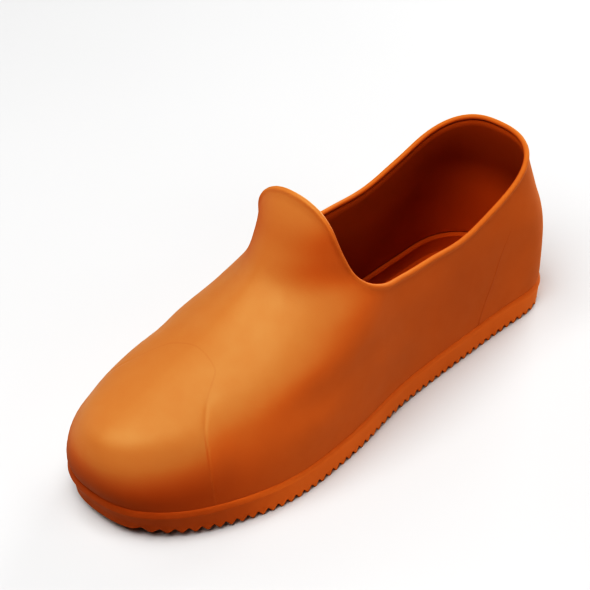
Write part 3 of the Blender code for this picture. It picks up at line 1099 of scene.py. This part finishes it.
class OVERSHOE_OT_make_outsole(bpy.types.Operator):
    """Model the outsole with its rounded shoulder, tapered wall, ribbed tread and footbed"""

    bl_idname = "overshoe.make_outsole"
    bl_label = "Make Outsole"
    bl_options = {"REGISTER", "UNDO"}

    def execute(self, context):
        sizes = context.scene.overshoe_sole
        finish = context.scene.overshoe_finish
        plan = SolePlan()

        def foot(station):
            toe = np.clip(spring(station), 0.0, 1.0)
            return sizes.shoulder_proud - (sizes.side_taper + (sizes.toe_taper - sizes.side_taper) * toe)

        shares = self.tread_shares(plan, sizes, foot)
        sections = sole_sections(sizes, foot)
        rings = []
        for section in sections:
            ring = plan.ring(section.offset, shares)
            rings.append(to_frame(np.column_stack([ring, section.height(ring[:, 1])])))
        # The edge mark is the rubbed tread edge; the shade marks carry the painted shade on the shoulder's
        # top
        marks = {
            "edge": [section.edge for section in sections],
            "inside": [section.inside for section in sections],
            "crown": np.zeros(len(sections)),
            "grime": [section.shade_mark for section in sections],
        }
        made = tube_on_rings("ribbed_outsole", rings, marks)
        self.close_across(made, len(shares) - 1)
        material = rubber_material("sole_satin_rubber", finish.sole_colour, finish)
        close_piece(made, material, SOLE_SMOOTH, "outsole")
        return {"FINISHED"}

    @staticmethod
    def tread_shares(plan, sizes, foot):
        """Shares of the tread's length to sample: each groove's profile, and crowded points at both ends."""
        line, _ = plan.spread(raised(foot, -sizes.edge_round))
        low, high = line[0, 1], line[-1, 1]
        offsets = np.array(GROOVE_SAMPLES) * sizes.groove_mouth / 2
        offsets = np.unique(np.concatenate([-offsets, offsets]))
        offsets = offsets[np.abs(offsets) < sizes.rib_pitch / 2]
        middles = sizes.first_groove + sizes.rib_pitch * np.arange(sizes.grooves)
        grooves = (middles[:, None] + offsets[None, :]).reshape(-1)
        crowd = np.linspace(0.0, 1.0, END_POINTS, endpoint=False) ** END_CROWDING
        heel = low + (grooves.min() - low) * crowd
        toe = high - (high - grooves.max()) * crowd
        return (np.unique(np.concatenate([heel, grooves, toe])) - low) / (high - low)

    @staticmethod
    def close_across(made, tip):
        """Bridge the two sides of each open ring and fill the last corner at the heel and at the toe."""
        for footbed in (True, False):

            def off_the_ends(columns, inside):
                return (inside > 0.5) == footbed and 0 not in columns and tip not in columns

            select_open_edges(made, off_the_ends)
            bpy.ops.mesh.bridge_edge_loops()
        bpy.ops.mesh.select_all(action="SELECT")
        bpy.ops.mesh.fill_holes(sides=4)


class OVERSHOE_OT_set_stage(bpy.types.Operator):
    """Set the pale floor, the soft lights and the camera"""

    bl_idname = "overshoe.set_stage"
    bl_label = "Set Stage"
    bl_options = {"REGISTER", "UNDO"}

    def execute(self, context):
        studio = context.scene.overshoe_studio
        self.lay_floor(studio)
        for name, power, size, place in LIGHTS:
            self.add_softbox(name, place, size, getattr(studio, power))
        self.set_world(context.scene, studio)
        self.set_tone(context.scene.view_settings)
        self.place_camera(context.scene, studio)
        return {"FINISHED"}

    @staticmethod
    def lay_floor(studio):
        bpy.ops.object.select_all(action="DESELECT")
        bpy.ops.mesh.primitive_plane_add(size=FLOOR_SIZE)
        floor = bpy.context.object
        floor.name = "studio_floor"
        look = Look("pale_floor")
        cloud = look.spread(look.noise(*FLOOR_NOISE), *NOISE_RANGE)
        away = look.spread(look.from_middle(), *FLOOR_FADE)
        material = look.finish(
            Base_Color=look.drifting(cloud, studio.floor_colour, FLOOR_TONE),
            Roughness=FLOOR_ROUGHNESS,
            Specular_IOR_Level=FLOOR_SPECULAR,
            Alpha=1 - away * away * (3 - 2 * away),
        )
        floor.data.materials.append(material)

    @staticmethod
    def add_softbox(name, place, size, power):
        """A square softbox that faces the shoe."""
        facing = (Vector(CAMERA_TARGET) - Vector(place)).to_track_quat("-Z", "Y").to_euler()
        bpy.ops.object.light_add(type="AREA", location=place, rotation=facing)
        made = bpy.context.object
        made.name = name
        made.data.size = size
        made.data.energy = power

    @staticmethod
    def set_world(scene, studio):
        """A weak light from all round, and a pale backdrop where nothing else is seen."""
        world = bpy.data.worlds.new("studio")
        world.use_nodes = True
        nodes, links = world.node_tree.nodes, world.node_tree.links
        glow = nodes["Background"]
        backdrop = nodes.new("ShaderNodeBackground")
        for shader, strength in ((glow, studio.surround), (backdrop, studio.backdrop)):
            shader.inputs["Color"].default_value = (1.0, 1.0, 1.0, 1.0)
            shader.inputs["Strength"].default_value = strength
        either = nodes.new("ShaderNodeMixShader")
        links.new(nodes.new("ShaderNodeLightPath").outputs["Is Camera Ray"], either.inputs[0])
        links.new(glow.outputs[0], either.inputs[1])
        links.new(backdrop.outputs[0], either.inputs[2])
        links.new(either.outputs[0], nodes["World Output"].inputs["Surface"])
        scene.world = world

    @staticmethod
    def set_tone(view):
        view.view_transform = "Standard"
        view.use_curve_mapping = True
        shoulder = TONE_SHOULDER**TONE_STEEPNESS
        tone = view.curve_mapping.curves[ALL_CHANNELS]
        for light in np.linspace(0.0, 1.0, TONE_POINTS)[1:-1] ** 2:
            rise = light**TONE_STEEPNESS
            tone.points.new(light, rise * (1 + shoulder) / (rise + shoulder))
        view.curve_mapping.update()

    @staticmethod
    def place_camera(scene, studio):
        azimuth, elevation = studio.azimuth, studio.elevation
        across = math.cos(elevation)
        backwards = Vector((math.sin(azimuth) * across, -math.cos(azimuth) * across, math.sin(elevation)))
        place = Vector(CAMERA_TARGET) + backwards * studio.distance
        bpy.ops.object.camera_add(location=place, rotation=backwards.to_track_quat("Z", "Y").to_euler())
        camera = bpy.context.object
        camera.name = "studio_camera"
        camera.data.lens = studio.lens
        camera.data.sensor_width = SENSOR_WIDTH
        camera.data.shift_x, camera.data.shift_y = CAMERA_SHIFT
        scene.camera = camera


class OVERSHOE_PT_sidebar(bpy.types.Panel):
    """Lists the overshoe's pieces with their sizes and colours"""

    bl_idname = "OVERSHOE_PT_sidebar"
    bl_label = "Rubber Overshoe"
    bl_space_type = "VIEW_3D"
    bl_region_type = "UI"
    bl_category = "Overshoe"

    def draw(self, context):
        for name, group in SETTINGS.items():
            box = self.layout.box()
            for key in group.__annotations__:
                box.prop(getattr(context.scene, name), key)
        for operator in OPERATORS:
            self.layout.operator(operator.bl_idname)


SETTINGS = {
    "overshoe_upper": UpperSizes,
    "overshoe_sole": SoleSizes,
    "overshoe_finish": RubberFinish,
    "overshoe_studio": StudioSetting,
}
OPERATORS = (
    OVERSHOE_OT_make_upper,
    OVERSHOE_OT_make_relief_lines,
    OVERSHOE_OT_make_outsole,
    OVERSHOE_OT_set_stage,
)
CLASSES = (*SETTINGS.values(), *OPERATORS, OVERSHOE_PT_sidebar)


def register():
    for made in CLASSES:
        bpy.utils.register_class(made)
    for name, group in SETTINGS.items():
        setattr(bpy.types.Scene, name, bpy.props.PointerProperty(type=group))


def unregister():
    for name in SETTINGS:
        delattr(bpy.types.Scene, name)
    for made in reversed(CLASSES):
        bpy.utils.unregister_class(made)


def main():
    register()
    bpy.ops.overshoe.make_upper()
    bpy.ops.overshoe.make_relief_lines()
    bpy.ops.overshoe.make_outsole()
    bpy.ops.overshoe.set_stage()


if __name__ == "__main__":
    main()
